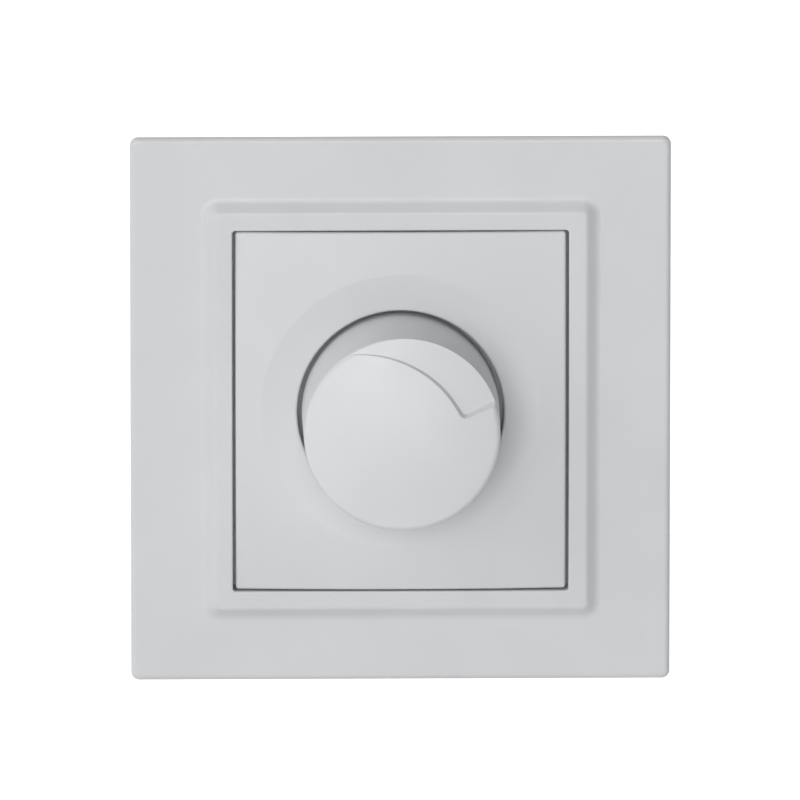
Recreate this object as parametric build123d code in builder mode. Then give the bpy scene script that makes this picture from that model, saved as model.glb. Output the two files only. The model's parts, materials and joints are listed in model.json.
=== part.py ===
from build123d import *
import os
from math import atan2, cos, degrees, hypot, radians, sin, sqrt

# A flush push-and-turn dimmer for a round wall box, in millimetres.
# The wall is the XZ plane, the front faces -Y and +Z is up. A distance "ahead" is measured
# from the wall towards the room, so pieces inside the wall box have negative ones.

# Clearances
fixed_fit = 0.05        # fixed pieces pushed over or into each other
shaft_fit = 0.05        # turning and sliding shafts, on the radius
loose_fit = 0.2         # screws and bushings through plain holes, on the radius
free_gap = 0.3          # moving pieces that pass each other
pick = 0.05             # how near an edge lies to the place it is chosen by

# Outer frame
frame_past_sides = 5.5  # how far it covers more than the support plate, on each side
frame_past_ends = 6.75  # and at the top and bottom
frame_depth = 8.6       # wall to front face
frame_draw_in = 2.0     # how far each side leans in towards the wall
frame_wall = 1.8
frame_face = 2.0
frame_corner = 1.2
frame_edge = 0.8
rib_thickness = 1.2
rib_spread = 34.0       # between the two ribs of one side
rib_back = 3.4          # how far ahead of the wall the ribs begin

# Raised bezel round the cover plate
bezel_rise = 1.3
bezel_run = 1.55        # width of its sloping outer side
bezel_land = 2.75       # width of its flat crest
bezel_corner = 2.2
bezel_foot = 1.6
bezel_edge = 0.8
mouth_edge = 0.25
collar_wall = 1.6
ledge_reach = 2.5
ledge_thickness = 1.6

# Cover plate
plate_width = 50.1
plate_height = 55.6
plate_gap = 0.45        # between the plate and the bezel, at the sides
plate_end_gap = 0.25    # and at the top and bottom
plate_corner = 0.5
plate_edge = 0.35
plate_wall = 1.5
plate_roof = 1.8
plate_seat = 5.2        # where its skirt stands on the frame's ledge
plate_proud = 1.0       # dome's crown ahead of the bezel's crest
dome_radius = 420.0
dish_radius = 21.3
dish_drop = 0.2
recess_floor = 1.6
recess_wall = 1.6
recess_edge = 0.35

# Knob
knob_radius = 15.0
knob_draft = 0.15       # how much narrower its front is, on the radius
knob_gap = 0.7          # between the knob and its recess
knob_height = 15.8      # from the recess's edge to the knob's front edge
knob_crown = 1.8
knob_edge = 1.0
knob_wall = 2.0
knob_face = 2.4
knob_float = 0.8        # over the recess's floor when the knob is pushed home
hub_radius = 5.0
hub_slot = 1.0
hub_slot_length = 6.5
knob_ribs = 6
knob_rib_thickness = 1.1
ring_width = 2.5
ring_thickness = 0.7
ring_groove = 0.45
ring_gap_angle = 40.0
ring_set_back = 1.0     # from the hub's end to the ring, and from the ring to the ribs

# Brightness mark: a ramp that sinks clockwise and grows wider
mark_start_angle = 125.0
mark_end_angle = 18.0
mark_tip_radius = 9.75
mark_bow = 3.5
mark_lead = 0.15        # under the knob's face, where it begins
mark_depth = 1.0        # and where it ends
mark_draft = 22.0       # lean of its walls
mark_corner = 0.8
mark_overrun = 4.0      # how far its cut runs past the rim

# Spindle and potentiometer
push_travel = 2.0
turn_angle = 280.0
spindle_radius = 3.0
spindle_flat = 1.5      # from the axis to the flat
spindle_grip = 11.0     # length inside the knob's hub
spindle_chamfer = 0.5
shoulder_radius = 4.0
shoulder_length = 1.0
bush_radius = 5.0
bush_flange_radius = 8.0
bush_flange = 1.0
bush_proud = 0.6        # past the nut
bush_chamfer = 0.5
nut_height = 2.2
nut_across_flats = 14.0
pot_radius = 12.0
pot_wall = 1.0
rotor_radius = 9.6
rotor_length = 2.0
rotor_lug_reach = 1.1
rotor_lug_angle = 30.0
stop_lug_spare = 2.0    # degrees left at each end of the turn
wiper_thickness = 0.4
wiper_width = 3.0
wiper_band = 1.2
wiper_inset = 2.0       # from the rotor's rim to the track
wiper_gap = 0.1
wiper_spread = 70.0
wafer_thickness = 0.9
pin_size = 0.8
pin_pitch = 3.0
pin_drop = 9.9          # pins below the axis
pin_length = 1.0        # past the board

# Push switch
switch_width = 18.0
switch_height = 16.0
switch_length = 10.4
switch_wall = 2.0
switch_back = 1.6
plunger_head = 7.0
plunger_head_length = 2.0
stem_radius = 1.6
stem_past = 1.2         # stem end past the switch's inner back wall
bridge_length = 11.2
bridge_width = 3.0
bridge_thickness = 0.5
contact_thickness = 0.6
contact_foot = 3.0
contact_gap = 0.4       # left when the switch is pushed home
spring_radius = 2.7
spring_wire = 0.3
spring_turns = 4.5

# Support plate and module shells
support_margin = 1.5    # past the ends of the box slots
support_thickness = 1.2
support_corner = 4.0
lip_length = 40.0
lip_height = 1.6
lip_gap = 12.0          # left open where the claw swings
box_pitch = 60.0
slot_width = 3.8
slot_length = 8.0
turret_radius = 18.0
turret_height = 2.6     # ahead of the support plate
turret_roof = 1.8
turret_wall = 1.8
module_clear = 3.0      # from the module to the box screws' axes
module_width = 41.0
cover_flange = 2.0
housing_length = 22.0
housing_wall = 1.6
housing_back = 2.0
housing_edge = 1.2
screw_inset = 3.5       # from the module's flat sides
screw_rim = 2.6         # from the module's round sides
screw_radius = 1.25
screw_length = 13.0
screw_head_radius = 2.3
screw_head = 1.4
screw_slot = 0.7
boss_radius = 2.7
shoulder_ring = 1.4     # board seat round each boss
vent_count = 5
vent_pitch = 4.0
vent_width = 1.6
vent_length = 11.0
vent_up = 11.0

# Circuit board and what stands on it
board_thickness = 1.6
board_gap = 0.6
component_gap = 0.6     # between what stands on the board
choke_across = -6.0
choke_core_radius = 2.2
choke_length = 10.0
choke_flange = 1.2
triac_across = 6.0
triac_width = 10.0
triac_thickness = 4.4
tab_thickness = 1.3
tab_hole = 1.6
tab_height = 4.6
tab_clear = 0.8         # over the housing's floor
lead_length = 1.6
lead_size = 0.8
lead_pitch = 2.54
sink_side_gap = 1.9     # to the housing's bosses
sink_rim_gap = 1.35     # to the housing's wall
sink_floor_gap = 2.0    # to the housing's floor
sink_thickness = 1.5
sink_foot = 3.0
film_side_gap = 1.45    # to the switch and to the housing's wall
film_length = 13.0
film_height = 11.0
film_edge = 0.8
fuse_radius = 2.5
fuse_end_gap = 3.4      # to the housing's bosses
fuse_cap = 5.0
fuse_bore = 2.0
fuse_lift = 1.2         # over the board
clip_thickness = 0.4
clip_width = 4.0
clip_foot = 2.0
clip_inset = 0.5        # from the fuse's end
cap_wall = 0.25
small_height = 3.2
timing_at = (6.0, -15.6)
timing_length = 7.0
timing_thickness = 2.6
timing_edge = 0.6
resistor_rows = (15.2, 18.6)
resistor_radius = 1.15
resistor_length = 6.4
diac_at = (-6.5, -15.6)
diac_radius = 0.95
diac_length = 4.2
wire_radius = 0.3
wire_overhang = 1.6     # lead past each end of a small component

# Wire clamps
clamp_count = 3
clamp_side_gap = 1.15   # to the housing's bosses
clamp_gap = 2.0         # between clamps
clamp_drop = 14.5       # below the axis
clamp_height = 7.0
clamp_length = 8.0
wire_bore = 1.7
wire_stop = 1.0         # metal left over the wire's bore
wire_entry = 2.4
clamp_screw_radius = 1.5
clamp_head_radius = 2.3
clamp_head = 2.0
clamp_access = 2.9

# Spreading claws
claw_width = 8.0
claw_thickness = 1.0
claw_tip = 4.0          # past the place where the nut starts
claw_tooth = 0.7
claw_notch = 2.4
claw_swing = 9.0
claw_pivot_across = 5.85  # from its screw's axis
hook_reach = 2.0
hook_gap = 0.1
hook_bend = 0.35        # inner radius of its bend, which the claw rocks on
claw_slot_spare = 0.35  # on each side of the claw
claw_screw_inset = 3.5  # from the module's flat side
claw_screw_radius = 1.5
claw_screw_past = 0.75  # past the nut
claw_head_radius = 2.9
claw_head = 1.9
claw_nut_side = 2.0     # from the screw's axis to the nut's outer side
claw_nut_width = 7.0
claw_nut_length = 4.0
claw_nut_depth = 20.0   # behind the wall, before the claw is spread
claw_nut_travel = 8.0

# Outlines that follow from the wall box and from each other
support_side = box_pitch + slot_length + 2 * support_margin
frame_width = support_side + 2 * frame_past_sides
frame_height = support_side + 2 * frame_past_ends
module_radius = box_pitch / 2 - module_clear
screw_across = module_width / 2 - screw_inset
screw_up = sqrt((module_radius - screw_rim) ** 2 - screw_across**2)
claw_screw_across = module_width / 2 + claw_screw_inset
claw_pivot = claw_screw_across + claw_pivot_across
claw_neck = claw_pivot - hook_bend - claw_thickness / 2
claw_reach = claw_nut_depth + claw_tip

# Places along the wall's normal that follow from the sizes above
bezel_crest = frame_depth + bezel_rise
dome_crown = bezel_crest + plate_proud
ledge_back = plate_seat - ledge_thickness
turret_front = support_thickness + turret_height
turret_ceiling = turret_front - turret_roof
recess_bottom = turret_front + recess_floor
nut_front = recess_bottom + nut_height
bush_front = nut_front + bush_proud
knob_rear = recess_bottom + push_travel + knob_float
hub_rear = bush_front + push_travel + free_gap
flange_rear = turret_ceiling - bush_flange
shoulder_front = flange_rear - free_gap
shoulder_rear = shoulder_front - shoulder_length
rotor_front = shoulder_rear - push_travel - free_gap
rotor_rear = rotor_front - rotor_length
pot_rear = rotor_rear - wiper_thickness - wiper_gap - wafer_thickness
board_front = pot_rear
board_rear = board_front - board_thickness
spindle_front = hub_rear + spindle_grip
spindle_rear = board_rear - free_gap
plunger_front = spindle_rear - fixed_fit
plunger_rear = plunger_front - plunger_head_length
bridge_rear = plunger_rear - bridge_thickness
switch_rear = board_rear - switch_length
switch_floor = switch_rear + switch_back
cover_rear = -cover_flange
housing_rear = cover_rear - housing_length
housing_floor = housing_rear + housing_back

# Spans across the wall
opening_width = plate_width + 2 * plate_gap
opening_height = plate_height + 2 * plate_end_gap
bezel_width = opening_width + 2 * (bezel_land + bezel_run)
bezel_height = opening_height + 2 * (bezel_land + bezel_run)
recess_radius = knob_radius + knob_gap
cup_radius = recess_radius + recess_wall
bush_hole = bush_radius + loose_fit
pot_inside = pot_radius - pot_wall
boss_outside = boss_radius + shoulder_ring
lean = atan2(frame_draw_in, frame_depth)
edge_loss = 2 * frame_edge * ((1 + sin(lean)) / cos(lean) - 1)  # what rounding takes off the width


def ahead(distance):
    """The sketch plane that faces the room, this far from the wall."""
    return Plane.XZ.offset(distance)


def frame_span(span, distance):
    """The frame's outer width or height, this far from the wall."""
    return span - 2 * frame_draw_in * (1 - distance / frame_depth)


def dome_at(radius):
    """How far ahead the cover plate's dome lies, this far from its middle."""
    return dome_crown - dome_radius + sqrt(dome_radius**2 - radius**2)


def polar(radius, angle):
    """A point of the front view, by its distance from the spindle and its angle."""
    return (radius * cos(radians(angle)), radius * sin(radians(angle)))


def turned(points, mode=Mode.ADD):
    """Turns a profile of (radius, distance ahead) points about the spindle's axis."""
    with BuildSketch(Plane.XY) as profile:
        with BuildLine():
            Polyline(*[(radius, -distance) for radius, distance in points], close=True)
        make_face()
    revolve(profile.sketch, axis=Axis.Y, mode=mode)


def tube(outer, inner, rear, front, mode=Mode.ADD):
    """A ring about the spindle's axis between two distances ahead."""
    turned([(inner, rear), (outer, rear), (outer, front), (inner, front)], mode)


def d_section(plane, radius, flat):
    """A round section with one flat on its upper side."""
    with BuildSketch(plane) as section:
        Circle(radius)
        with Locations((0, flat + radius)):
            Rectangle(2 * radius, 2 * radius, mode=Mode.SUBTRACT)
    return section.sketch


def module_outline(plane, inset):
    """The module's outline in the wall box: a circle with two upright flats."""
    with BuildSketch(plane) as outline:
        Circle(module_radius - inset)
        Rectangle(module_width - 2 * inset, 2 * module_radius, mode=Mode.INTERSECT)
    return outline.sketch


def post(across, up, radius, rear, front, mode=Mode.ADD):
    """A round post along the wall's normal between two distances ahead."""
    with BuildSketch(ahead(rear)) as section:
        with Locations((across, up)):
            Circle(radius)
    extrude(section.sketch, amount=front - rear, mode=mode)


def block(across, up, width, height, rear, front, mode=Mode.ADD):
    """A square-edged block between two distances ahead."""
    with BuildSketch(ahead(rear)) as section:
        with Locations((across, up)):
            Rectangle(width, height)
    extrude(section.sketch, amount=front - rear, mode=mode)


def head_slot(across, up, radius, head_end, deeper):
    """A screwdriver slot from a head's outer end inwards."""
    block(across, up, 2 * radius + screw_slot, screw_slot, head_end, deeper, Mode.SUBTRACT)


# Outer frame: a hollow tapered surround with the bezel, a collar, a ledge and ribs
with BuildPart() as outer_frame:
    with BuildSketch(ahead(0)):
        RectangleRounded(frame_span(frame_width, 0), frame_span(frame_height, 0), frame_corner)
    with BuildSketch(ahead(frame_depth)):
        RectangleRounded(frame_width + edge_loss, frame_height + edge_loss, frame_corner)
    loft()
    fillet(outer_frame.faces().sort_by(Axis.Y)[0].edges(), frame_edge)
    with BuildSketch(ahead(frame_depth)):
        RectangleRounded(bezel_width, bezel_height, bezel_corner)
    extrude(amount=bezel_rise, taper=degrees(atan2(bezel_run, bezel_rise)))
    fillet(outer_frame.faces().sort_by(Axis.Y)[0].edges(), bezel_edge)
    foot_edges = (
        outer_frame.edges()
        .filter_by_position(Axis.Y, -frame_depth - pick, -frame_depth + pick)
        .filter_by(lambda e: abs(e.center().X) < bezel_width / 2 + pick)
        .filter_by(lambda e: abs(e.center().Z) < bezel_height / 2 + pick)
    )
    fillet(foot_edges, bezel_foot)
    hollow_top = frame_depth - frame_face
    with BuildSketch(ahead(0)):
        RectangleRounded(
            frame_span(frame_width, 0) - 2 * frame_wall,
            frame_span(frame_height, 0) - 2 * frame_wall,
            frame_corner,
        )
    with BuildSketch(ahead(hollow_top)):
        RectangleRounded(
            frame_span(frame_width, hollow_top) - 2 * frame_wall,
            frame_span(frame_height, hollow_top) - 2 * frame_wall,
            frame_corner,
        )
    loft(mode=Mode.SUBTRACT)
    with BuildSketch(ahead(ledge_back)):
        RectangleRounded(
            opening_width + 2 * collar_wall, opening_height + 2 * collar_wall, bezel_corner
        )
    extrude(amount=frame_depth - ledge_back - frame_face / 2)
    rib_end_x = frame_span(frame_width, rib_back) / 2 - frame_wall / 2
    rib_end_z = frame_span(frame_height, rib_back) / 2 - frame_wall / 2
    with BuildSketch(ahead(rib_back)):
        with GridLocations(0, rib_spread, 1, 2):
            Rectangle(2 * rib_end_x, rib_thickness)
        with GridLocations(rib_spread, 0, 2, 1):
            Rectangle(rib_thickness, 2 * rib_end_z)
    extrude(amount=hollow_top - rib_back)
    with BuildSketch(ahead(0)):
        RectangleRounded(
            opening_width - 2 * ledge_reach, opening_height - 2 * ledge_reach, plate_corner
        )
    extrude(amount=bezel_crest, mode=Mode.SUBTRACT)
    with BuildSketch(ahead(plate_seat)):
        RectangleRounded(opening_width, opening_height, plate_corner)
    extrude(amount=bezel_crest, mode=Mode.SUBTRACT)
    mouth_edges = (
        outer_frame.edges()
        .filter_by_position(Axis.Y, -bezel_crest - pick, -bezel_crest + pick)
        .filter_by(lambda e: abs(e.center().X) < opening_width / 2 + pick)
        .filter_by(lambda e: abs(e.center().Z) < opening_height / 2 + pick)
    )
    fillet(mouth_edges, mouth_edge)

# Cover plate: a domed shell with a dish, the knob's recess and a skirt on the frame's ledge
dome_reach = hypot(plate_width, plate_height) / 2
dome_outside = dome_reach + plate_wall  # how far the dome is swept, past the plate's corners
dish_rim = dome_at(dish_radius)
recess_mouth = dish_rim - dish_drop
plate_ceiling = dome_at(dome_reach) - plate_roof
with BuildPart() as cover_plate:
    with BuildSketch(ahead(plate_seat)):
        RectangleRounded(plate_width, plate_height, plate_corner)
    extrude(amount=dome_crown - plate_seat)
    with BuildSketch(Plane.XY):
        with BuildLine():
            Polyline(
                (dish_radius, -dish_rim),
                (recess_radius, -recess_mouth),
                (0, -recess_mouth),
                (0, -turret_front),
                (dome_outside, -turret_front),
                (dome_outside, -dome_at(dome_outside)),
            )
            middle = (dish_radius + dome_reach) / 2
            ThreePointArc(
                (dome_outside, -dome_at(dome_outside)),
                (middle, -dome_at(middle)),
                (dish_radius, -dish_rim),
            )
        make_face()
    revolve(axis=Axis.Y, mode=Mode.INTERSECT)
    crown_edges = cover_plate.edges().filter_by(
        lambda e: max(abs(e.center().X) - plate_width / 2, abs(e.center().Z) - plate_height / 2)
        > -plate_corner
        and e.center().Y < -plate_ceiling
        and e.bounding_box().size.Y < plate_wall
    )
    fillet(crown_edges, plate_edge)
    with BuildSketch(ahead(plate_seat)):
        RectangleRounded(plate_width - 2 * plate_wall, plate_height - 2 * plate_wall, plate_corner)
    extrude(amount=plate_ceiling - plate_seat, mode=Mode.SUBTRACT)
    post(0, 0, cup_radius, turret_front, plate_ceiling + plate_roof / 2)
    with BuildSketch(ahead(plate_seat + plate_wall)):
        Rectangle(plate_width - plate_wall, rib_thickness)
        Rectangle(rib_thickness, plate_height - plate_wall)
    extrude(amount=plate_ceiling - plate_seat - plate_wall)
    post(0, 0, recess_radius, recess_bottom, dome_crown, Mode.SUBTRACT)
    post(0, 0, bush_hole, turret_front, recess_bottom, Mode.SUBTRACT)
    mouth = cover_plate.edges().filter_by(GeomType.CIRCLE).filter_by(
        lambda e: abs(e.radius - recess_radius) < pick
    )
    fillet(mouth.sort_by(Axis.Y)[0], recess_edge)

# Knob: a hollow turned cap with a ribbed split hub and the sunk brightness mark
knob_front = recess_mouth + knob_height
knob_top_radius = knob_radius - knob_draft
knob_apex = knob_front + knob_crown
crown_radius = (knob_top_radius**2 + knob_crown**2) / (2 * knob_crown)
knob_ceiling = knob_front - knob_face

mark_outside = knob_radius + mark_overrun
mark_start = polar(knob_radius, mark_start_angle)
mark_tip = polar(mark_tip_radius, mark_end_angle)
mark_chord = Vector(mark_tip[0] - mark_start[0], mark_tip[1] - mark_start[1])
mark_along = mark_chord.normalized()
mark_bulge = (
    (mark_start[0] + mark_tip[0]) / 2 - mark_bow * mark_along.Y,
    (mark_start[1] + mark_tip[1]) / 2 + mark_bow * mark_along.X,
)
mark_fall = (mark_depth - mark_lead) / mark_chord.length
mark_sink = mark_lead - mark_fall * mark_along.dot(Vector(*mark_start))
mark_deepest = mark_sink + mark_fall * knob_radius
mark_shift = -mark_fall * crown_radius * mark_along
with BuildPart() as mark_cutter:
    with BuildSketch(ahead(knob_front)) as mark_outline:
        with BuildLine():
            ThreePointArc(mark_start, mark_bulge, mark_tip)
            Line(mark_tip, polar(mark_outside, mark_end_angle))
            CenterArc((0, 0), mark_outside, mark_end_angle, mark_start_angle - mark_end_angle)
            Line(polar(mark_outside, mark_start_angle), mark_start)
        make_face()
        fillet(mark_outline.vertices().sort_by_distance(mark_tip)[0], mark_corner)
    extrude(mark_outline.sketch, amount=-mark_deepest, taper=mark_draft)
    extrude(mark_outline.sketch, amount=knob_crown, taper=-mark_draft)
    with Locations((mark_shift.X, crown_radius - knob_apex + mark_sink, mark_shift.Y)):
        Sphere(crown_radius, mode=Mode.SUBTRACT)

ring_rear = hub_rear + ring_set_back
ring_front = ring_rear + ring_width
rib_rear = ring_front + ring_set_back
groove_radius = hub_radius - ring_groove
knob_inside = knob_radius - knob_wall
knob_rim = (knob_top_radius, -knob_front)
with BuildPart() as knob:
    with BuildSketch(Plane.XY) as knob_profile:
        with BuildLine():
            TangentArc((0, -knob_apex), knob_rim, tangent=(1, 0))
            Polyline(knob_rim, (knob_radius, -knob_rear), (0, -knob_rear), (0, -knob_apex))
        make_face()
        fillet(knob_profile.vertices().sort_by_distance(knob_rim)[0], knob_edge)
    revolve(axis=Axis.Y)
    add(mark_cutter.part, mode=Mode.SUBTRACT)
    tube(knob_inside, 0, knob_rear, knob_ceiling, Mode.SUBTRACT)
    tube(hub_radius, 0, hub_rear, knob_ceiling)
    with BuildSketch(ahead(rib_rear)):
        with PolarLocations((hub_radius + knob_inside) / 2, knob_ribs):
            Rectangle(knob_inside - hub_radius + knob_rib_thickness, knob_rib_thickness)
    extrude(amount=knob_ceiling - rib_rear)
    tube(hub_radius, groove_radius, ring_rear, ring_front, Mode.SUBTRACT)
    bore = d_section(ahead(hub_rear), spindle_radius + fixed_fit, spindle_flat + fixed_fit)
    extrude(bore, amount=spindle_grip + free_gap, mode=Mode.SUBTRACT)
    block(0, 0, 2 * hub_radius, hub_slot, hub_rear, hub_rear + hub_slot_length, Mode.SUBTRACT)

with BuildPart() as knob_spring_ring:
    ring_inside = groove_radius + fixed_fit
    with BuildSketch(ahead(ring_rear + fixed_fit)):
        Circle(ring_inside + ring_thickness)
        Circle(ring_inside, mode=Mode.SUBTRACT)
        gap_half = radians(ring_gap_angle / 2)
        with Locations((0, hub_radius)):
            Rectangle(2 * hub_radius * sin(gap_half), 2 * hub_radius, mode=Mode.SUBTRACT)
    extrude(amount=ring_width - 2 * fixed_fit)

# Spindle: a turned shaft with a shoulder, flatted where the knob and the rotor grip it
with BuildPart() as spindle:
    turned(
        [
            (0, spindle_rear),
            (spindle_radius, spindle_rear),
            (spindle_radius, shoulder_rear),
            (shoulder_radius, shoulder_rear),
            (shoulder_radius, shoulder_front),
            (spindle_radius, shoulder_front),
            (spindle_radius, spindle_front - spindle_chamfer),
            (spindle_radius - spindle_chamfer, spindle_front),
            (0, spindle_front),
        ]
    )
    flat_middle = spindle_flat + spindle_radius / 2
    flat_start = hub_rear - free_gap / 2
    block(0, flat_middle, 2 * spindle_radius, spindle_radius, flat_start, spindle_front, Mode.SUBTRACT)
    block(
        0, flat_middle, 2 * spindle_radius, spindle_radius, spindle_rear, shoulder_rear, Mode.SUBTRACT
    )

# Threaded bushing and its nut
with BuildPart() as pot_bushing:
    bush_bore = spindle_radius + shaft_fit
    turned(
        [
            (bush_bore, flange_rear),
            (bush_flange_radius, flange_rear),
            (bush_flange_radius, turret_ceiling),
            (bush_radius, turret_ceiling),
            (bush_radius, bush_front - bush_chamfer),
            (bush_radius - bush_chamfer, bush_front),
            (bush_bore, bush_front),
        ]
    )

with BuildPart() as plate_nut:
    with BuildSketch(ahead(recess_bottom)):
        RegularPolygon(nut_across_flats / 2, 6, major_radius=False)
        Circle(bush_radius + fixed_fit, mode=Mode.SUBTRACT)
    extrude(amount=nut_height)

# Potentiometer: case with a stop lug, rotor, wiper, wafer and pins
stop_lug_angle = 360 - turn_angle - rotor_lug_angle - 2 * stop_lug_spare


def lug(angle, spread, inner, outer, rear, front):
    """A lug of a ring, centred on an angle of the front view."""
    with BuildSketch(ahead(rear)) as section:
        with BuildLine():
            low, high = angle - spread / 2, angle + spread / 2
            CenterArc((0, 0), outer, low, spread)
            Line(polar(outer, high), polar(inner, high))
            CenterArc((0, 0), inner, low, spread)
            Line(polar(inner, low), polar(outer, low))
        make_face()
    extrude(section.sketch, amount=front - rear)


with BuildPart() as pot_case:
    tube(pot_radius, pot_inside, pot_rear, flange_rear)
    tube(pot_radius, shoulder_radius + free_gap, flange_rear - pot_wall, flange_rear)
    lug(-90, stop_lug_angle, rotor_radius + free_gap, pot_inside + pot_wall / 2, rotor_rear, flange_rear)

with BuildPart() as pot_rotor:
    rotor_bore = d_section(ahead(rotor_rear), spindle_radius + shaft_fit, spindle_flat + shaft_fit)
    tube(rotor_radius, 0, rotor_rear, rotor_front)
    lug_end = min(rotor_radius + rotor_lug_reach, pot_inside - free_gap)
    lug(90, rotor_lug_angle, rotor_radius - rotor_lug_reach, lug_end, rotor_rear, rotor_front)
    extrude(rotor_bore, amount=rotor_length, mode=Mode.SUBTRACT)

with BuildPart() as pot_wiper:
    with BuildSketch(ahead(rotor_rear - wiper_thickness)):
        with Locations((0, -rotor_radius / 2)):
            SlotOverall(rotor_radius - wiper_inset / 2, wiper_width, rotation=90)
        with BuildLine():
            CenterArc((0, 0), rotor_radius - wiper_inset, -90 - wiper_spread / 2, wiper_spread)
        trace(line_width=wiper_band)
        Circle(spindle_radius + free_gap, mode=Mode.SUBTRACT)
    extrude(amount=wiper_thickness)

pins_across = [-pin_pitch, 0, pin_pitch]
with BuildPart() as pot_wafer:
    tube(pot_inside - fixed_fit, spindle_radius + free_gap, pot_rear, pot_rear + wafer_thickness)
    for across in pins_across:
        pin_hole = pin_size + 2 * fixed_fit
        block(
            across, -pin_drop, pin_hole, pin_hole, pot_rear, pot_rear + wafer_thickness, Mode.SUBTRACT
        )

with BuildPart() as pot_pins:
    for across in pins_across:
        block(
            across, -pin_drop, pin_size, pin_size, board_rear - pin_length, pot_rear + wafer_thickness
        )

# Circuit board, seated on the shoulders of the housing's bosses
board_inset = housing_wall + board_gap
bosses = [(x * screw_across, z * screw_up) for x in (-1, 1) for z in (-1, 1)]
screw_end = support_thickness - screw_length
with BuildPart() as circuit_board:
    extrude(module_outline(ahead(board_rear), board_inset), amount=board_thickness)
    post(0, 0, spindle_radius + free_gap, board_rear, board_front, Mode.SUBTRACT)
    for across, up in bosses:
        post(across, up, boss_radius + board_gap, board_rear, board_front, Mode.SUBTRACT)
    for across in pins_across:
        pin_hole = pin_size + 2 * fixed_fit
        block(across, -pin_drop, pin_hole, pin_hole, board_rear, board_front, Mode.SUBTRACT)

# Push switch: case, plunger, moving bridge, fixed contacts and return spring
inside_width = switch_width - 2 * switch_wall
inside_height = switch_height - 2 * switch_wall
with BuildPart() as switch_case:
    with BuildSketch(ahead(switch_rear)):
        RectangleRounded(switch_width, switch_height, switch_wall / 2)
    extrude(amount=switch_length)
    block(0, 0, inside_width, inside_height, switch_floor, board_rear, Mode.SUBTRACT)
    post(0, 0, stem_radius + shaft_fit, switch_rear, switch_floor, Mode.SUBTRACT)

with BuildPart() as switch_plunger:
    with BuildSketch(ahead(plunger_rear)):
        RectangleRounded(plunger_head, plunger_head, plunger_head / 8)
    extrude(amount=plunger_head_length)
    post(0, 0, stem_radius, switch_floor - stem_past, plunger_rear)

with BuildPart() as contact_bridge:
    with BuildSketch(ahead(bridge_rear)):
        SlotOverall(bridge_length, bridge_width)
        Circle(stem_radius + fixed_fit, mode=Mode.SUBTRACT)
    extrude(amount=bridge_thickness)

contact_front = bridge_rear - push_travel - contact_gap
with BuildPart() as fixed_contacts:
    for side in (-1, 1):
        foot_middle = side * (inside_width - contact_foot) / 2
        riser_middle = side * (inside_width - contact_thickness) / 2
        contact_rear = contact_front - contact_thickness
        block(foot_middle, 0, contact_foot, bridge_width, contact_rear, contact_front)
        block(riser_middle, 0, contact_thickness, bridge_width, contact_rear, board_rear)

spring_seat = switch_floor + spring_wire + fixed_fit
spring_length = bridge_rear - spring_wire - fixed_fit - spring_seat
with BuildPart() as return_spring:
    with BuildLine() as coil:
        Helix(
            spring_length / spring_turns,
            spring_length,
            spring_radius,
            center=(0, -spring_seat, 0),
            direction=(0, -1, 0),
        )
    with BuildSketch(Plane(origin=coil.line @ 0, z_dir=coil.line % 0)):
        Circle(spring_wire)
    sweep(is_frenet=True)

# Support plate: stamped steel with box slots, claw slots and turned-up lips
with BuildPart() as support_plate:
    with BuildSketch(ahead(0)):
        RectangleRounded(support_side, support_side, support_corner)
        Circle(turret_radius + free_gap, mode=Mode.SUBTRACT)
        with GridLocations(0, box_pitch, 1, 2):
            SlotOverall(slot_length, slot_width, rotation=90, mode=Mode.SUBTRACT)
        with GridLocations(2 * screw_across, 2 * screw_up, 2, 2):
            Circle(screw_radius + loose_fit, mode=Mode.SUBTRACT)
        with GridLocations(2 * claw_screw_across, 0, 2, 1):
            Circle(claw_screw_radius + loose_fit, mode=Mode.SUBTRACT)
        with GridLocations(2 * claw_neck, 0, 2, 1):
            Rectangle(
                claw_thickness + 2 * claw_slot_spare,
                claw_width + 2 * free_gap,
                mode=Mode.SUBTRACT,
            )
    extrude(amount=support_thickness)
    lip_middle = (support_side - support_thickness) / 2
    with BuildSketch(ahead(support_thickness)):
        with GridLocations(2 * lip_middle, 0, 2, 1):
            Rectangle(support_thickness, lip_length)
            Rectangle(support_thickness, lip_gap, mode=Mode.SUBTRACT)
    extrude(amount=lip_height)
    lip_ends = support_plate.edges().filter_by(Axis.X).sort_by(Axis.Y)[:8]
    fillet(lip_ends, lip_height / 2)

# Front cover: flange behind the support plate and the turret that carries the bushing
with BuildPart() as front_cover:
    extrude(module_outline(ahead(cover_rear), 0), amount=cover_flange)
    post(0, 0, turret_radius, cover_rear, turret_front)
    post(0, 0, turret_radius - turret_wall, cover_rear, turret_ceiling, Mode.SUBTRACT)
    post(0, 0, bush_hole, turret_ceiling, turret_front, Mode.SUBTRACT)
    for across, up in bosses:
        post(across, up, screw_radius + loose_fit, cover_rear, 0, Mode.SUBTRACT)

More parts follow.
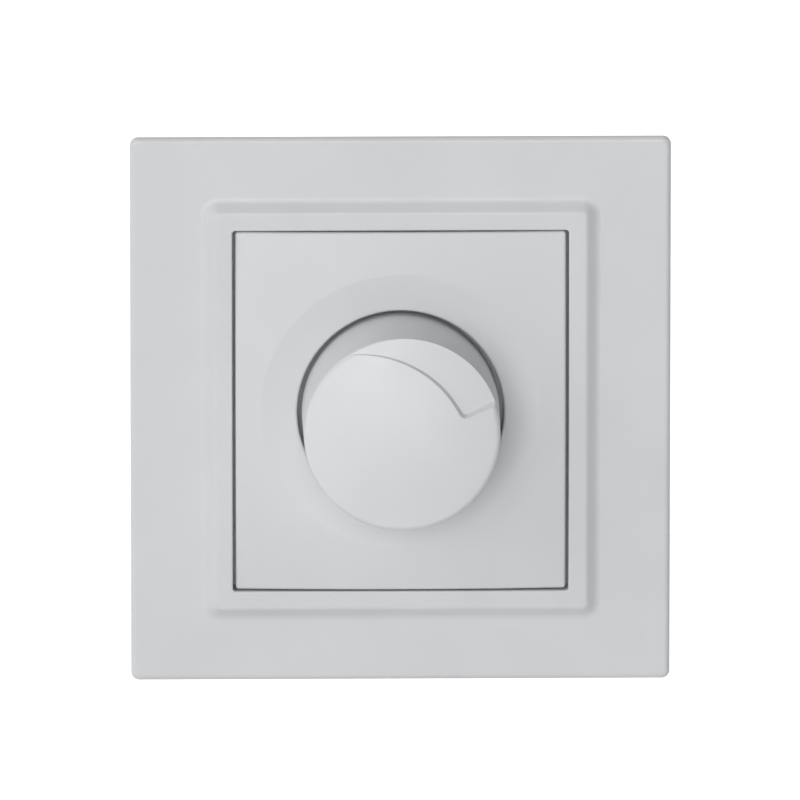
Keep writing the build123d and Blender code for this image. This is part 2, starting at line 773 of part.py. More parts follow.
# Rear housing: a tub with screw bosses, vents, wire entries and screwdriver holes
clamp_span = 2 * (screw_across - boss_outside - clamp_side_gap)
clamp_pitch = (clamp_span + clamp_gap) / clamp_count
clamp_width = clamp_pitch - clamp_gap
clamps_across = [(i - (clamp_count - 1) / 2) * clamp_pitch for i in range(clamp_count)]
clamp_rear = board_rear - clamp_length
wire_ahead = board_rear - clamp_length / 2
with BuildPart() as rear_housing:
    extrude(module_outline(ahead(housing_rear), 0), amount=housing_length)
    fillet(rear_housing.faces().sort_by(Axis.Y)[-1].edges(), housing_edge)
    inside = module_outline(ahead(housing_floor), housing_wall)
    extrude(inside, amount=cover_rear - housing_floor, mode=Mode.SUBTRACT)
    for across, up in bosses:
        post(across, up, boss_outside, housing_rear + housing_edge, board_rear)
        post(across, up, boss_radius, board_rear, cover_rear)
    with BuildSketch(ahead(housing_rear)):
        Rectangle(4 * module_radius, 4 * module_radius)
        add(module_outline(ahead(housing_rear), 0), mode=Mode.SUBTRACT)
    extrude(amount=housing_length, mode=Mode.SUBTRACT)
    for across, up in bosses:
        post(across, up, screw_radius + fixed_fit, screw_end, cover_rear, Mode.SUBTRACT)
    with BuildSketch(ahead(housing_rear)):
        with Locations((0, vent_up)):
            with GridLocations(vent_pitch, 0, vent_count, 1):
                SlotOverall(vent_length, vent_width, rotation=90)
        for across in clamps_across:
            with Locations((across, -clamp_drop)):
                Circle(clamp_access)
    extrude(amount=housing_back, mode=Mode.SUBTRACT)
    with BuildSketch(Plane.XY.offset(-module_radius)):
        for across in clamps_across:
            with Locations((across, -wire_ahead)):
                Circle(wire_entry)
    extrude(amount=module_radius - clamp_drop, mode=Mode.SUBTRACT)

with BuildPart() as cover_screws:
    for across, up in bosses:
        head_front = support_thickness + screw_head
        post(across, up, screw_radius, screw_end + free_gap, support_thickness)
        post(across, up, screw_head_radius, support_thickness, head_front)
        head_slot(across, up, screw_head_radius, head_front - screw_head / 2, head_front)

# Wire clamps: brass blocks on the board, each with a screw across its wire bore
with BuildPart() as terminal_blocks:
    for across in clamps_across:
        block(across, -clamp_drop, clamp_width, clamp_height, clamp_rear, board_rear)
        post(across, -clamp_drop, clamp_screw_radius + fixed_fit, clamp_rear, wire_ahead, Mode.SUBTRACT)
    with BuildSketch(Plane.XY.offset(-clamp_drop - clamp_height / 2)):
        for across in clamps_across:
            with Locations((across, -wire_ahead)):
                Circle(wire_bore)
    extrude(amount=clamp_height - wire_stop, mode=Mode.SUBTRACT)

with BuildPart() as terminal_screws:
    for across in clamps_across:
        head_rear = clamp_rear - clamp_head
        post(across, -clamp_drop, clamp_screw_radius, clamp_rear, wire_ahead - wire_bore)
        post(across, -clamp_drop, clamp_head_radius, head_rear, clamp_rear)
        head_slot(across, -clamp_drop, clamp_head_radius, head_rear, head_rear + clamp_head / 2)

# Heat sink's place, with the choke between it and the switch
sink_width = 2 * (screw_across - boss_outside - sink_side_gap)
sink_reach = module_radius - housing_wall - sink_rim_gap
sink_face = sqrt(sink_reach**2 - (sink_width / 2) ** 2) - sink_foot
sink_rear = housing_floor + sink_floor_gap
choke_at = (choke_across, (sink_face + switch_height / 2) / 2)
choke_radius = (sink_face - switch_height / 2) / 2 - component_gap

# Choke: a drum core with its winding between the flanges
with BuildPart() as choke_core:
    choke_rear = board_rear - choke_length
    post(*choke_at, choke_core_radius, choke_rear, board_rear)
    post(*choke_at, choke_radius, choke_rear, choke_rear + choke_flange)
    post(*choke_at, choke_radius, board_rear - choke_flange, board_rear)

with BuildPart() as choke_winding:
    winding_rear = choke_rear + choke_flange
    winding_front = board_rear - choke_flange
    post(*choke_at, choke_radius - wire_radius, winding_rear, winding_front)
    post(*choke_at, choke_core_radius + fixed_fit, winding_rear, winding_front, Mode.SUBTRACT)

# Triac on its heat sink
body_front = board_rear - lead_length
tab_rear = housing_floor + tab_clear
body_rear = tab_rear + tab_height
tab_screw_ahead = body_rear - tab_height / 2
with BuildPart() as triac_package:
    package_thickness = triac_thickness - tab_thickness
    package_up = sink_face - tab_thickness - package_thickness / 2
    block(triac_across, package_up, triac_width, package_thickness, body_rear, body_front)
    chamfer(triac_package.faces().sort_by(Axis.Z)[0].edges(), package_thickness / 8)

with BuildPart() as triac_leads:
    block(triac_across, sink_face - tab_thickness / 2, triac_width, tab_thickness, tab_rear, body_front)
    with BuildSketch(Plane.XY.offset(sink_face - tab_thickness)):
        with Locations((triac_across, -tab_screw_ahead)):
            Circle(tab_hole)
    extrude(amount=tab_thickness, mode=Mode.SUBTRACT)
    for step in (-1, 0, 1):
        lead_up = sink_face - tab_thickness + lead_size / 2
        block(triac_across + step * lead_pitch, lead_up, lead_size, lead_size, board_rear, body_front)

with BuildPart() as heat_sink:
    block(0, sink_face + sink_thickness / 2, sink_width, sink_thickness, sink_rear, board_rear)
    foot_up = sink_face + sink_foot / 2
    block(0, foot_up, sink_width, sink_foot, board_rear - sink_thickness, board_rear)
    with BuildSketch(Plane.XY.offset(sink_face)):
        with Locations((triac_across, -tab_screw_ahead)):
            Circle(screw_radius + fixed_fit)
    extrude(amount=sink_thickness, mode=Mode.SUBTRACT)

with BuildPart() as triac_screw:
    head_low = sink_face - tab_thickness - screw_head
    with BuildSketch(Plane.XY.offset(head_low)):
        with Locations((triac_across, -tab_screw_ahead)):
            Circle(screw_head_radius)
    extrude(amount=screw_head)
    with BuildSketch(Plane.XY.offset(head_low)):
        with Locations((triac_across, -tab_screw_ahead)):
            Circle(screw_radius)
    extrude(amount=screw_head + tab_thickness + sink_thickness)

# Capacitors, resistors, diac and fuse
side_middle = (module_width / 2 - housing_wall + switch_width / 2) / 2
with BuildPart() as film_capacitor:
    film_width = module_width / 2 - housing_wall - switch_width / 2 - 2 * film_side_gap
    block(side_middle, 0, film_width, film_length, board_rear - film_height, board_rear)
    fillet(film_capacitor.edges().filter_by(Axis.Y), film_edge)

with BuildPart() as timing_capacitor:
    block(*timing_at, timing_length, timing_thickness, board_front, board_front + small_height)
    fillet(timing_capacitor.edges().filter_by(Axis.Y), timing_edge)


def lying_component(across, up, radius, length):
    """A small component lying across the board on its two bent leads."""
    middle = board_front + radius + wire_radius
    with BuildSketch(Plane.YZ.offset(across - length / 2)) as body:
        with Locations((-middle, up)):
            Circle(radius)
    extrude(body.sketch, amount=length)
    with BuildSketch(Plane.YZ.offset(across - length / 2 - wire_overhang)) as wire:
        with Locations((-middle, up)):
            Circle(wire_radius)
    extrude(wire.sketch, amount=length + 2 * wire_overhang)
    for side in (-1, 1):
        end = across + side * (length / 2 + wire_overhang - wire_radius)
        post(end, up, wire_radius, board_front, middle)


with BuildPart() as resistors:
    for row in resistor_rows:
        lying_component(0, row, resistor_radius, resistor_length)

with BuildPart() as diac:
    lying_component(*diac_at, diac_radius, diac_length)

fuse_across = -side_middle
fuse_ahead = board_rear - fuse_lift - fuse_radius


def upright_round(radius, low, high, mode=Mode.ADD):
    """A round bar along the fuse's axis between two heights."""
    with BuildSketch(Plane.XY.offset(low)) as section:
        with Locations((fuse_across, -fuse_ahead)):
            Circle(radius)
    extrude(section.sketch, amount=high - low, mode=mode)


fuse_high = screw_up - boss_outside - fuse_end_gap
fuse_low = -fuse_high
with BuildPart() as fuse_tube:
    upright_round(fuse_radius - cap_wall, fuse_low + cap_wall, fuse_high - cap_wall)
    upright_round(fuse_bore, fuse_low + cap_wall, fuse_high - cap_wall, Mode.SUBTRACT)

with BuildPart() as fuse_caps:
    upright_round(fuse_radius, fuse_low, fuse_low + fuse_cap)
    upright_round(fuse_radius, fuse_high - fuse_cap, fuse_high)
    upright_round(fuse_radius - cap_wall, fuse_low + cap_wall, fuse_high - cap_wall, Mode.SUBTRACT)

with BuildPart() as fuse_clips:
    clip_inside = fuse_radius + fixed_fit
    for low in (fuse_low + clip_inset, fuse_high - clip_inset - clip_width):
        upright_round(clip_inside + clip_thickness, low, low + clip_width)
        block(fuse_across, low + clip_width / 2, clip_foot, clip_width, fuse_ahead, board_rear)
    upright_round(clip_inside, fuse_low, fuse_high, Mode.SUBTRACT)
    block(
        fuse_across,
        0,
        2 * fuse_radius,
        fuse_high - fuse_low,
        fuse_ahead - 2 * fuse_radius,
        fuse_ahead - fuse_radius / 2,
        Mode.SUBTRACT,
    )

# Claws: each rocks in a slot of the support plate and is spread by a nut on its screw
claw_half = claw_width / 2
claw_inner = claw_pivot - hook_bend - claw_thickness
claw_outer = claw_pivot - hook_bend
hook_rear = -support_thickness - hook_gap
hook_front = hook_rear - claw_thickness
pivot_y = hook_rear + hook_bend
nut_edge = claw_screw_across + claw_nut_side


def on_claw(travel):
    """Where the nut's leading edge meets the claw, in the claw's place before it is spread."""
    angle = radians(claw_swing * travel / claw_nut_travel)
    across = nut_edge - claw_pivot
    deep = claw_nut_depth - travel - pivot_y
    return (
        claw_pivot + across * cos(angle) - deep * sin(angle) + free_gap,
        pivot_y + across * sin(angle) + deep * cos(angle),
    )


def between(first, last, across):
    """The depth at which a straight stretch of the claw is this far from the axis."""
    share = (across - first[0]) / (last[0] - first[0])
    return first[1] + share * (last[1] - first[1])


with BuildPart() as claw_right:
    neck = (claw_inner, claw_thickness)
    waist = on_claw(claw_nut_travel)
    heel = on_claw(0)
    tip_across = heel[0] + (claw_reach - heel[1]) * (heel[0] - waist[0]) / (heel[1] - waist[1])
    with BuildSketch(Plane.XY) as claw_profile:
        with BuildLine():
            Polyline(
                (claw_inner, hook_front),
                neck,
                waist,
                heel,
                (tip_across, claw_reach),
                (tip_across + claw_thickness + claw_tooth, claw_reach),
                (tip_across + claw_thickness, claw_reach - 2 * claw_thickness),
                (heel[0] + claw_thickness, heel[1]),
                (waist[0] + claw_thickness, waist[1]),
                (claw_outer, claw_thickness),
                (claw_outer, hook_rear),
                (claw_outer + hook_reach, hook_rear),
                (claw_outer + hook_reach, hook_front),
                close=True,
            )
        make_face()
        corners = claw_profile.vertices()
        fillet(corners.sort_by_distance((claw_outer, hook_rear, 0))[0], hook_bend)
        fillet(corners.sort_by_distance((claw_inner, hook_front, 0))[0], hook_bend + claw_thickness)
    extrude(amount=claw_half, both=True)
    clear_across = claw_screw_across + claw_screw_radius + free_gap
    slot_start = between(neck, waist, clear_across) - free_gap
    slot_end = between(waist, heel, clear_across) + free_gap
    with BuildSketch(Plane.XY):
        with Locations((claw_pivot, (slot_start + slot_end) / 2)):
            Rectangle(2 * claw_nut_depth, slot_end - slot_start)
    extrude(amount=claw_screw_radius + free_gap, both=True, mode=Mode.SUBTRACT)
    with BuildSketch(Plane.XY):
        with Locations((tip_across + claw_thickness + claw_tooth, claw_reach)):
            Rectangle(2 * claw_tooth, 4 * claw_thickness)
    extrude(amount=claw_notch / 2, both=True, mode=Mode.SUBTRACT)

with BuildPart() as claw_screw_right:
    head_rear = support_thickness + fixed_fit
    screw_tip = -claw_nut_depth - claw_nut_length - claw_screw_past
    post(claw_screw_across, 0, claw_screw_radius, screw_tip, head_rear)
    post(claw_screw_across, 0, claw_head_radius, head_rear, head_rear + claw_head)
    fillet(claw_screw_right.faces().sort_by(Axis.Y)[0].edges(), claw_head / 3)
    head_slot(claw_screw_across, 0, claw_head_radius, head_rear + claw_head / 2, head_rear + claw_head)

with BuildPart() as claw_nut_right:
    nut_inside = module_width / 2 + free_gap
    block(
        (nut_inside + nut_edge) / 2,
        0,
        nut_edge - nut_inside,
        claw_nut_width,
        -claw_nut_depth - claw_nut_length,
        -claw_nut_depth,
    )
    chamfer(claw_nut_right.edges().filter_by(Axis.X), claw_nut_length / 8)
    post(
        claw_screw_across,
        0,
        claw_screw_radius + shaft_fit,
        -claw_nut_depth - claw_nut_length,
        -claw_nut_depth,
        Mode.SUBTRACT,
    )

with BuildPart() as claw_left:
    mirror(claw_right.part, about=Plane.YZ)

with BuildPart() as claw_screw_left:
    mirror(claw_screw_right.part, about=Plane.YZ)

with BuildPart() as claw_nut_left:
    mirror(claw_nut_right.part, about=Plane.YZ)

pieces = {
    "outer_frame": outer_frame,
    "cover_plate": cover_plate,
    "knob": knob,
    "knob_spring_ring": knob_spring_ring,
    "spindle": spindle,
    "pot_bushing": pot_bushing,
    "plate_nut": plate_nut,
    "pot_case": pot_case,
    "pot_rotor": pot_rotor,
    "pot_wiper": pot_wiper,
    "pot_wafer": pot_wafer,
    "pot_pins": pot_pins,
    "circuit_board": circuit_board,
    "switch_case": switch_case,
    "switch_plunger": switch_plunger,
    "contact_bridge": contact_bridge,
    "fixed_contacts": fixed_contacts,
    "return_spring": return_spring,
    "support_plate": support_plate,
    "front_cover": front_cover,
    "rear_housing": rear_housing,
    "cover_screws": cover_screws,
    "terminal_blocks": terminal_blocks,
    "terminal_screws": terminal_screws,
    "choke_core": choke_core,
    "choke_winding": choke_winding,
    "triac_package": triac_package,
    "triac_leads": triac_leads,
    "heat_sink": heat_sink,
    "triac_screw": triac_screw,
    "film_capacitor": film_capacitor,
    "timing_capacitor": timing_capacitor,
    "resistors": resistors,
    "diac": diac,
    "fuse_tube": fuse_tube,
    "fuse_caps": fuse_caps,
    "fuse_clips": fuse_clips,
    "claw_left": claw_left,
    "claw_right": claw_right,
    "claw_screw_left": claw_screw_left,
    "claw_screw_right": claw_screw_right,
    "claw_nut_left": claw_nut_left,
    "claw_nut_right": claw_nut_right,
}
os.makedirs("parts", exist_ok=True)
for name, piece in pieces.items():
    piece.part.label = name
    export_step(piece.part, f"parts/{name}.step")
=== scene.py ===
import json
import math

import bmesh
import bpy
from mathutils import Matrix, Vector


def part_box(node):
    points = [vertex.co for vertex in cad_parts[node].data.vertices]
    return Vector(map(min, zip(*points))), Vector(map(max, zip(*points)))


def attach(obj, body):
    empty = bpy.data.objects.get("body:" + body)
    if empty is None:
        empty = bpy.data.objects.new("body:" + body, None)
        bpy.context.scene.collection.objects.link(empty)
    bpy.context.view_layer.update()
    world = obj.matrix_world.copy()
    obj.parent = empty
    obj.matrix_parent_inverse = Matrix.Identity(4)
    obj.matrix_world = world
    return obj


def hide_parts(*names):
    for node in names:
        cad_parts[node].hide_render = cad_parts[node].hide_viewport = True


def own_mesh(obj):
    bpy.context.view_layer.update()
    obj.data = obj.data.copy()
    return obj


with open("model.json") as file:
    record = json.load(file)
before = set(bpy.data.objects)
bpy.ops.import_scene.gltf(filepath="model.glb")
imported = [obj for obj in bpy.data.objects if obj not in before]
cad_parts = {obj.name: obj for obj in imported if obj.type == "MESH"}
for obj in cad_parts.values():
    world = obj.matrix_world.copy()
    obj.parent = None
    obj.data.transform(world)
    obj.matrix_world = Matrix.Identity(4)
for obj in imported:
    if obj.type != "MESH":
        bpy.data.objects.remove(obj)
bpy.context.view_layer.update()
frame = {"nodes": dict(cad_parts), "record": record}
nodes = frame["nodes"]
scene = bpy.context.scene

MM = 0.001
SAME = 0.001 * MM  # points nearer to each other than this are one point


# Node helpers

NOISE_RANGE = (0.3, 0.7)  # where most values of a noise lie


class Shader:
    """A material under construction: a Principled shader with nodes feeding it."""

    def __init__(self, name):
        self.material = bpy.data.materials.new(name)
        self.material.use_nodes = True
        self.tree = self.material.node_tree
        self.tree.nodes.clear()
        self.output = self.add("ShaderNodeOutputMaterial")
        self.surface = self.add("ShaderNodeBsdfPrincipled")
        self.link(self.surface.outputs["BSDF"], self.output.inputs["Surface"])
        self.coordinates = self.add("ShaderNodeTexCoord").outputs["Object"]

    def add(self, kind, **settings):
        node = self.tree.nodes.new(kind)
        for key, value in settings.items():
            setattr(node, key, value)
        return node

    def link(self, source, target):
        self.tree.links.new(source, target)

    def set(self, **values):
        """Sets sockets of the Principled shader, with spaces for underscores."""
        for key, value in values.items():
            self.surface.inputs[key.replace("_", " ")].default_value = value

    def noise(self, size, detail=2.0, stretch=(1, 1, 1)):
        """Noise whose spots are about this many millimetres across."""
        mapping = self.add("ShaderNodeMapping")
        mapping.inputs["Scale"].default_value = stretch
        self.link(self.coordinates, mapping.inputs["Vector"])
        node = self.add("ShaderNodeTexNoise")
        node.inputs["Scale"].default_value = 1 / (size * MM)
        node.inputs["Detail"].default_value = detail
        self.link(mapping.outputs["Vector"], node.inputs["Vector"])
        return node.outputs["Fac"]

    def cells(self, size):
        """Cells about this many millimetres across, each with a grey of its own."""
        node = self.add("ShaderNodeTexVoronoi")
        node.inputs["Scale"].default_value = 1 / (size * MM)
        self.link(self.coordinates, node.inputs["Vector"])
        grey = self.add("ShaderNodeRGBToBW")
        self.link(node.outputs["Color"], grey.inputs["Color"])
        return grey.outputs["Val"]

    def ramp(self, fac, stops):
        """A colour ramp; each stop is a place and a linear colour."""
        node = self.add("ShaderNodeValToRGB")
        ends = node.color_ramp.elements
        while len(ends) < len(stops):
            ends.new(0.5)
        for end, (place, colour) in zip(ends, stops):
            end.position = place
            end.color = (*colour, 1)
        self.link(fac, node.inputs["Fac"])
        return node.outputs["Color"]

    def spread(self, fac, low, high):
        """Maps the middle of a noise to a range of numbers."""
        node = self.add("ShaderNodeMapRange")
        node.inputs["From Min"].default_value, node.inputs["From Max"].default_value = NOISE_RANGE
        node.inputs["To Min"].default_value = low
        node.inputs["To Max"].default_value = high
        self.link(fac, node.inputs["Value"])
        return node.outputs["Result"]

    def bump(self, height, depth, below=None):
        """Relief of about this many millimetres, on top of another relief if given."""
        node = self.add("ShaderNodeBump")
        node.inputs["Strength"].default_value = 1.0
        node.inputs["Distance"].default_value = depth * MM
        self.link(height, node.inputs["Height"])
        if below is not None:
            self.link(below, node.inputs["Normal"])
        return node.outputs["Normal"]

    def colour(self, socket):
        self.link(socket, self.surface.inputs["Base Color"])

    def rough(self, socket):
        self.link(socket, self.surface.inputs["Roughness"])

    def normal(self, socket):
        self.link(socket, self.surface.inputs["Normal"])


def linear(*srgb):
    """An sRGB colour given as 0 to 255, as linear values."""
    out = []
    for value in srgb:
        c = value / 255
        out.append(c / 12.92 if c <= 0.04045 else ((c + 0.055) / 1.055) ** 2.4)
    return tuple(out)


def shade(colour, factor):
    """A lighter or darker form of a linear colour."""
    return tuple(min(1.0, c * factor) for c in colour)


def around(colour, low, high):
    """Ramp stops that let a noise vary a colour between two shades of it."""
    return [(NOISE_RANGE[0], shade(colour, low)), (NOISE_RANGE[1], shade(colour, high))]


# Materials


def moulded(name, tone, rough, grain=0.25, relief=0.004, mottle=0.02):
    """Fine satin moulded plastic: spark-eroded grain, faint flow marks and uneven gloss."""
    s = Shader(name)
    s.set(IOR=1.5)
    s.colour(s.ramp(s.noise(size=14, detail=3), around(tone, 1 - mottle, 1 + mottle)))
    s.rough(s.spread(s.noise(size=3.5, detail=3), rough - 0.05, rough + 0.05))
    fine = s.bump(s.noise(grain), relief)
    s.normal(s.bump(s.noise(size=9, detail=1), relief * 2, fine))
    return s.material


def metal(name, tone, rough, stretch=(1, 1, 1), grain=0.3, relief=0.003):
    """Drawn, turned or rolled metal, with its grain along one direction."""
    s = Shader(name)
    s.set(Metallic=1.0)
    s.colour(s.ramp(s.noise(size=4, detail=3), around(tone, 0.9, 1.06)))
    s.rough(s.spread(s.noise(grain * 4, detail=3, stretch=stretch), rough - 0.08, rough + 0.08))
    s.normal(s.bump(s.noise(grain, stretch=stretch), relief))
    return s.material


def galvanised(name, tone, rough, spangle):
    """Zinc-coated sheet: soft crystal patches that differ in tone and gloss."""
    s = Shader(name)
    s.set(Metallic=1.0)
    patches = s.cells(spangle)
    s.colour(s.ramp(patches, [(0.2, shade(tone, 0.86)), (0.8, shade(tone, 1.08))]))
    s.rough(s.spread(patches, rough - 0.06, rough + 0.06))
    s.normal(s.bump(s.noise(size=0.4), 0.003))
    return s.material


def glass(name):
    """Clear glass that is very slightly uneven."""
    s = Shader(name)
    s.set(Base_Color=(0.95, 0.98, 0.97, 1), IOR=1.5, Transmission_Weight=1.0)
    s.rough(s.spread(s.noise(size=2), 0.02, 0.06))
    return s.material


white = linear(208, 209, 211)
finishes = {
    "frame_plastic": moulded("frame_plastic", white, 0.42),
    "plate_plastic": moulded("plate_plastic", white, 0.4),
    "knob_plastic": moulded("knob_plastic", linear(216, 217, 219), 0.44),
    "spring_steel": metal("spring_steel", (0.5, 0.5, 0.52), 0.3),
    "spindle_steel": metal("spindle_steel", (0.6, 0.6, 0.6), 0.28, stretch=(0.2, 1, 0.2)),
    "nickel": metal("nickel", (0.7, 0.68, 0.63), 0.24),
    "case_steel": galvanised("case_steel", (0.62, 0.63, 0.64), 0.34, 1.5),
    "black_plastic": moulded("black_plastic", linear(48, 48, 50), 0.5),
    "contact_brass": metal("contact_brass", (0.78, 0.56, 0.24), 0.3),
    "phenolic": moulded("phenolic", linear(120, 78, 44), 0.5, mottle=0.12),
    "tinned": metal("tinned", (0.68, 0.69, 0.7), 0.32),
    "board_laminate": moulded("board_laminate", linear(38, 92, 58), 0.35, grain=0.5, mottle=0.08),
    "switch_plastic": moulded("switch_plastic", linear(60, 60, 62), 0.5),
    "plunger_plastic": moulded("plunger_plastic", linear(225, 225, 220), 0.4),
    "galvanised_steel": galvanised("galvanised_steel", (0.6, 0.61, 0.62), 0.36, 3.0),
    "housing_plastic": moulded("housing_plastic", linear(88, 90, 92), 0.5, mottle=0.05),
    "screw_steel": metal("screw_steel", (0.62, 0.62, 0.62), 0.3),
    "terminal_brass": metal("terminal_brass", (0.72, 0.52, 0.22), 0.34),
    "ferrite": moulded("ferrite", linear(62, 62, 66), 0.6, mottle=0.1),
    "copper_wire": metal("copper_wire", (0.66, 0.3, 0.14), 0.3),
    "sink_aluminium": metal("sink_aluminium", (0.74, 0.75, 0.76), 0.36, stretch=(0.15, 1, 1)),
    "film_plastic": moulded("film_plastic", linear(206, 170, 60), 0.35),
    "dipped_plastic": moulded("dipped_plastic", linear(150, 66, 34), 0.25),
    "resistor_lacquer": moulded("resistor_lacquer", linear(205, 180, 140), 0.3),
    "diac_lacquer": moulded("diac_lacquer", linear(60, 90, 140), 0.25),
    "fuse_glass": glass("fuse_glass"),
    "claw_steel": galvanised("claw_steel", (0.58, 0.57, 0.54), 0.4, 2.0),
}
for entry in frame["record"]["subparts"]:
    mesh = nodes[entry["node"]].data
    mesh.materials.clear()
    mesh.materials.append(finishes[entry["material_slot"]])

# Knob: its turned faces are closed at their seam, for even normals where the crown ends in a point

CRISP_ANGLE = math.radians(25)  # edges that turn by more than this stay crisp
weld = nodes["knob"].modifiers.new("closed_seam", "WELD")
weld.merge_threshold = SAME
crisp = nodes["knob"].modifiers.new("crisp_edges", "EDGE_SPLIT")
crisp.split_angle = CRISP_ANGLE
crisp.use_edge_sharp = False
nodes["knob"].modifiers.new("even_normals", "WEIGHTED_NORMAL").keep_sharp = True

# Return spring: a copy of the coil, carried by the base

coil = bpy.data.objects.new("coil_return_spring", nodes["return_spring"].data.copy())
scene.collection.objects.link(coil)
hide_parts("return_spring")
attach(coil, "base")
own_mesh(coil)

# Claw screws: a right-hand thread is cut into the plain shanks

SCREW_ACROSS = {"claw_screw_left": -24.0 * MM, "claw_screw_right": 24.0 * MM}
PITCH = 0.5 * MM
CREST = 1.5 * MM        # radius
ROOT = 1.2 * MM         # radius
STEPS = 32              # round one turn
SHANK = -1.25 * MM      # where the shank leaves the head
PLAIN = 1.0 * MM        # not threaded, under the head
SLACK = 0.02 * MM       # for telling the shank's points from the head's
PROFILE = ((0.0, ROOT), (0.12, ROOT), (0.44, CREST), (0.68, CREST))  # places along one pitch, and radii


def threaded_screw(name, across):
    """A copy of a claw screw with a thread in place of its plain shank."""
    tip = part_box(name)[1].y
    build = bmesh.new()
    build.from_mesh(nodes[name].data)

    def on_shank(vertex):
        radius = math.hypot(vertex.co.x - across, vertex.co.z)
        return radius < CREST + SLACK and vertex.co.y > SHANK - SLACK

    plain = [face for face in build.faces if all(on_shank(v) for v in face.verts)]
    bmesh.ops.delete(build, geom=plain, context="FACES")

    def ring_point(radius, step, along):
        angle = 2 * math.pi * step / STEPS
        return build.verts.new((across + radius * math.sin(angle), along, radius * math.cos(angle)))

    start = SHANK + PLAIN
    turns = math.ceil((tip - start) / PITCH) + 3
    rows = []
    for turn in range(turns):
        for place, radius in PROFILE:
            row = []
            for step in range(STEPS):
                along = start + PITCH * (turn - 1 + place + step / STEPS)
                if along <= start:
                    row.append(ring_point(CREST, step, start))
                else:
                    along = min(along, tip)
                    row.append(ring_point(min(radius, ROOT + tip - along), step, along))
            rows.append(row)
    end = build.verts.new((across, tip, 0))
    one_turn = len(PROFILE)
    for k in range(len(rows) - one_turn - 1):
        low, high = rows[k], rows[k + 1]
        low_next, high_next = rows[k + one_turn], rows[k + 1 + one_turn]
        for step in range(STEPS):
            after = step + 1
            if after < STEPS:
                build.faces.new((low[step], low[after], high[after], high[step]))
            else:
                build.faces.new((low[step], low_next[0], high_next[0], high[step]))
    last = rows[len(rows) - one_turn - 1]
    for step in range(STEPS):
        build.faces.new((last[step], last[(step + 1) % STEPS], end))
    bmesh.ops.remove_doubles(build, verts=build.verts, dist=SAME)
    bmesh.ops.dissolve_degenerate(build, edges=build.edges, dist=SAME)
    loose = [v for v in build.verts if not v.link_faces]
    bmesh.ops.delete(build, geom=loose, context="VERTS")
    # The head and the thread each have one open edge loop, and a plain collar joins them
    bmesh.ops.bridge_loops(build, edges=[edge for edge in build.edges if edge.is_boundary])
    bmesh.ops.recalc_face_normals(build, faces=build.faces)
    mesh = bpy.data.meshes.new("threaded_" + name)
    build.to_mesh(mesh)
    build.free()
    mesh.materials.clear()
    mesh.materials.append(finishes["screw_steel"])
    screw = bpy.data.objects.new("threaded_" + name, mesh)
    scene.collection.objects.link(screw)
    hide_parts(name)
    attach(screw, name)


for screw_name, screw_across in SCREW_ACROSS.items():
    threaded_screw(screw_name, screw_across)

# Stage: a pale floor well below the object, white to the camera, that keeps its shadow

FLOOR_REACH = 4.0
FLOOR_LEVEL = -0.16
FLOOR_TONE = (0.8, 0.8, 0.8, 1)
FLOOR_GLOW = 0.8        # where it is seen, so that it is white
floor_mesh = bpy.data.meshes.new("floor")
build = bmesh.new()
bmesh.ops.create_grid(build, x_segments=1, y_segments=1, size=FLOOR_REACH)
build.to_mesh(floor_mesh)
build.free()
floor = bpy.data.objects.new("floor", floor_mesh)
floor.location = (0, 0, FLOOR_LEVEL)
scene.collection.objects.link(floor)

pale = bpy.data.materials.new("pale_floor")
pale.use_nodes = True
tree = pale.node_tree
tree.nodes.clear()
out = tree.nodes.new("ShaderNodeOutputMaterial")
both = tree.nodes.new("ShaderNodeAddShader")
diffuse = tree.nodes.new("ShaderNodeBsdfDiffuse")
diffuse.inputs["Color"].default_value = FLOOR_TONE
glow = tree.nodes.new("ShaderNodeEmission")


def seen_rays(node_tree):
    """One for camera, glossy and transmission rays, and nothing for the rest."""
    path = node_tree.nodes.new("ShaderNodeLightPath")
    total = path.outputs["Is Camera Ray"]
    for name in ("Is Glossy Ray", "Is Transmission Ray"):
        pick = node_tree.nodes.new("ShaderNodeMath")
        pick.operation = "MAXIMUM"
        node_tree.links.new(total, pick.inputs[0])
        node_tree.links.new(path.outputs[name], pick.inputs[1])
        total = pick.outputs["Value"]
    return total


scale = tree.nodes.new("ShaderNodeMath")
scale.operation = "MULTIPLY"
scale.inputs[1].default_value = FLOOR_GLOW
tree.links.new(seen_rays(tree), scale.inputs[0])
tree.links.new(scale.outputs["Value"], glow.inputs["Strength"])
tree.links.new(diffuse.outputs["BSDF"], both.inputs[0])
tree.links.new(glow.outputs["Emission"], both.inputs[1])
tree.links.new(both.outputs["Shader"], out.inputs["Surface"])
floor_mesh.materials.append(pale)

# Light: a pale room that is brighter at the left and white where it is seen, with a large soft lamp
# in front and a weaker one behind

ROOM_LEVEL = 0.28
ROOM_SLOPE = (-0.95, 0.0, 0.05)  # how much brighter it gets towards each direction
ROOM_LEAST = 0.10
ROOM_TINT = (0.985, 1.0, 1.005, 1)
LAMP_DISTANCE = 2.0
LAMP_SIZE = 1.0
world = bpy.data.worlds.new("room")
scene.world = world
world.use_nodes = True
tree = world.node_tree
tree.nodes.clear()
out = tree.nodes.new("ShaderNodeOutputWorld")
mix = tree.nodes.new("ShaderNodeMixShader")
room = tree.nodes.new("ShaderNodeBackground")
room.inputs["Color"].default_value = ROOM_TINT
seen = tree.nodes.new("ShaderNodeBackground")
seen.inputs["Color"].default_value = (1, 1, 1, 1)
seen.inputs["Strength"].default_value = 1.0
towards = tree.nodes.new("ShaderNodeTexCoord")
slope = tree.nodes.new("ShaderNodeVectorMath")
slope.operation = "DOT_PRODUCT"
slope.inputs[1].default_value = ROOM_SLOPE
level = tree.nodes.new("ShaderNodeMath")
level.operation = "ADD"
level.inputs[1].default_value = ROOM_LEVEL
strength = tree.nodes.new("ShaderNodeMath")
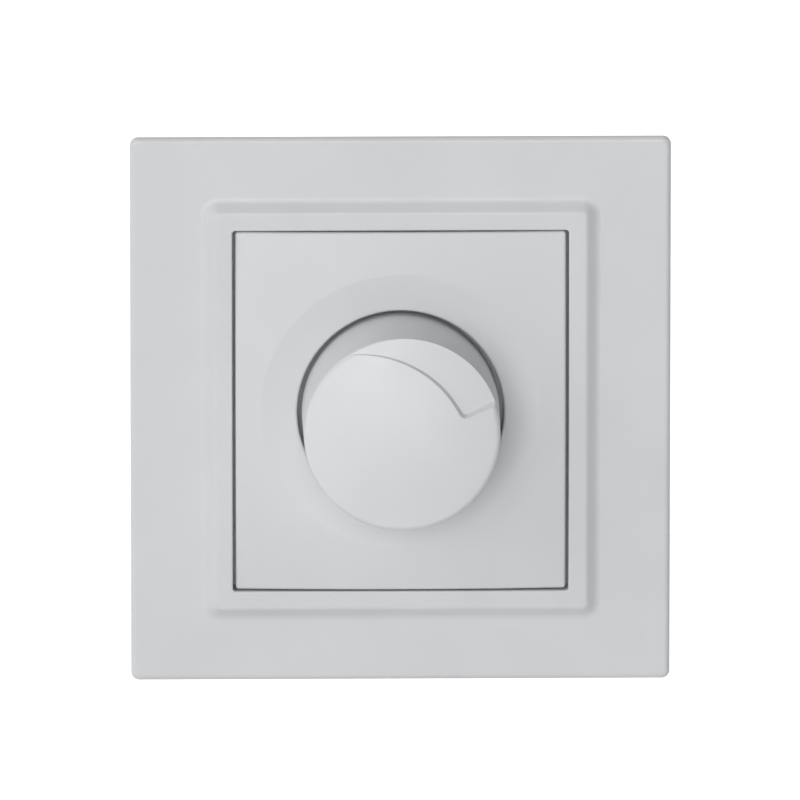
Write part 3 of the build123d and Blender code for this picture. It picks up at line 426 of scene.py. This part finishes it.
strength.operation = "MAXIMUM"
strength.inputs[1].default_value = ROOM_LEAST
tree.links.new(towards.outputs["Generated"], slope.inputs[0])
tree.links.new(slope.outputs["Value"], level.inputs[0])
tree.links.new(level.outputs["Value"], strength.inputs[0])
tree.links.new(strength.outputs["Value"], room.inputs["Strength"])
tree.links.new(seen_rays(tree), mix.inputs["Fac"])
tree.links.new(room.outputs["Background"], mix.inputs[1])
tree.links.new(seen.outputs["Background"], mix.inputs[2])
tree.links.new(mix.outputs["Shader"], out.inputs["Surface"])


def soft_lamp(name, side, power):
    """A square lamp that stands on a side of the object and faces it."""
    lamp = bpy.data.lights.new(name, "AREA")
    lamp.shape = "SQUARE"
    lamp.size = LAMP_SIZE
    lamp.energy = power
    holder = bpy.data.objects.new(name, lamp)
    direction = Vector(side).normalized()
    holder.location = direction * LAMP_DISTANCE
    holder.rotation_euler = direction.to_track_quat("Z", "Y").to_euler()
    scene.collection.objects.link(holder)


soft_lamp("key", side=(-0.14, -0.97, 0.18), power=18.8)
soft_lamp("fill", side=(0.74, 0.62, 0.2), power=6.5)  # for the right side and the back

# Camera: a long lens, a little above the object and a very little to its left

IMAGE = 800                 # pixels across
ELEVATION = math.radians(13.0)
AZIMUTH = math.radians(0.9)
DISTANCE = 3.0
FIELD = 121.4 * MM          # what the image spans at the object
AIM_PIXEL = (400.5, 409.5)  # where the middle of the frame's front is seen
SENSOR = 36.0
front_middle = Vector((0, -8.6 * MM, 0))

camera_data = bpy.data.cameras.new("camera")
camera_data.sensor_width = SENSOR
camera_data.lens = SENSOR * DISTANCE / FIELD
camera = bpy.data.objects.new("camera", camera_data)
scene.collection.objects.link(camera)
scene.camera = camera
right = Vector((math.cos(AZIMUTH), -math.sin(AZIMUTH), 0))
level_back = Vector((-math.sin(AZIMUTH), -math.cos(AZIMUTH), 0))
back = level_back * math.cos(ELEVATION) + Vector((0, 0, math.sin(ELEVATION)))
up = back.cross(right)
per_pixel = FIELD / IMAGE
aim_right, aim_down = (place - IMAGE / 2 for place in AIM_PIXEL)
aim = front_middle + (up * aim_down - right * aim_right) * per_pixel
camera.location = aim + back * DISTANCE
camera.rotation_mode = "QUATERNION"
camera.rotation_quaternion = (-back).to_track_quat("-Z", "Y")

scene.view_settings.view_transform = "Standard"
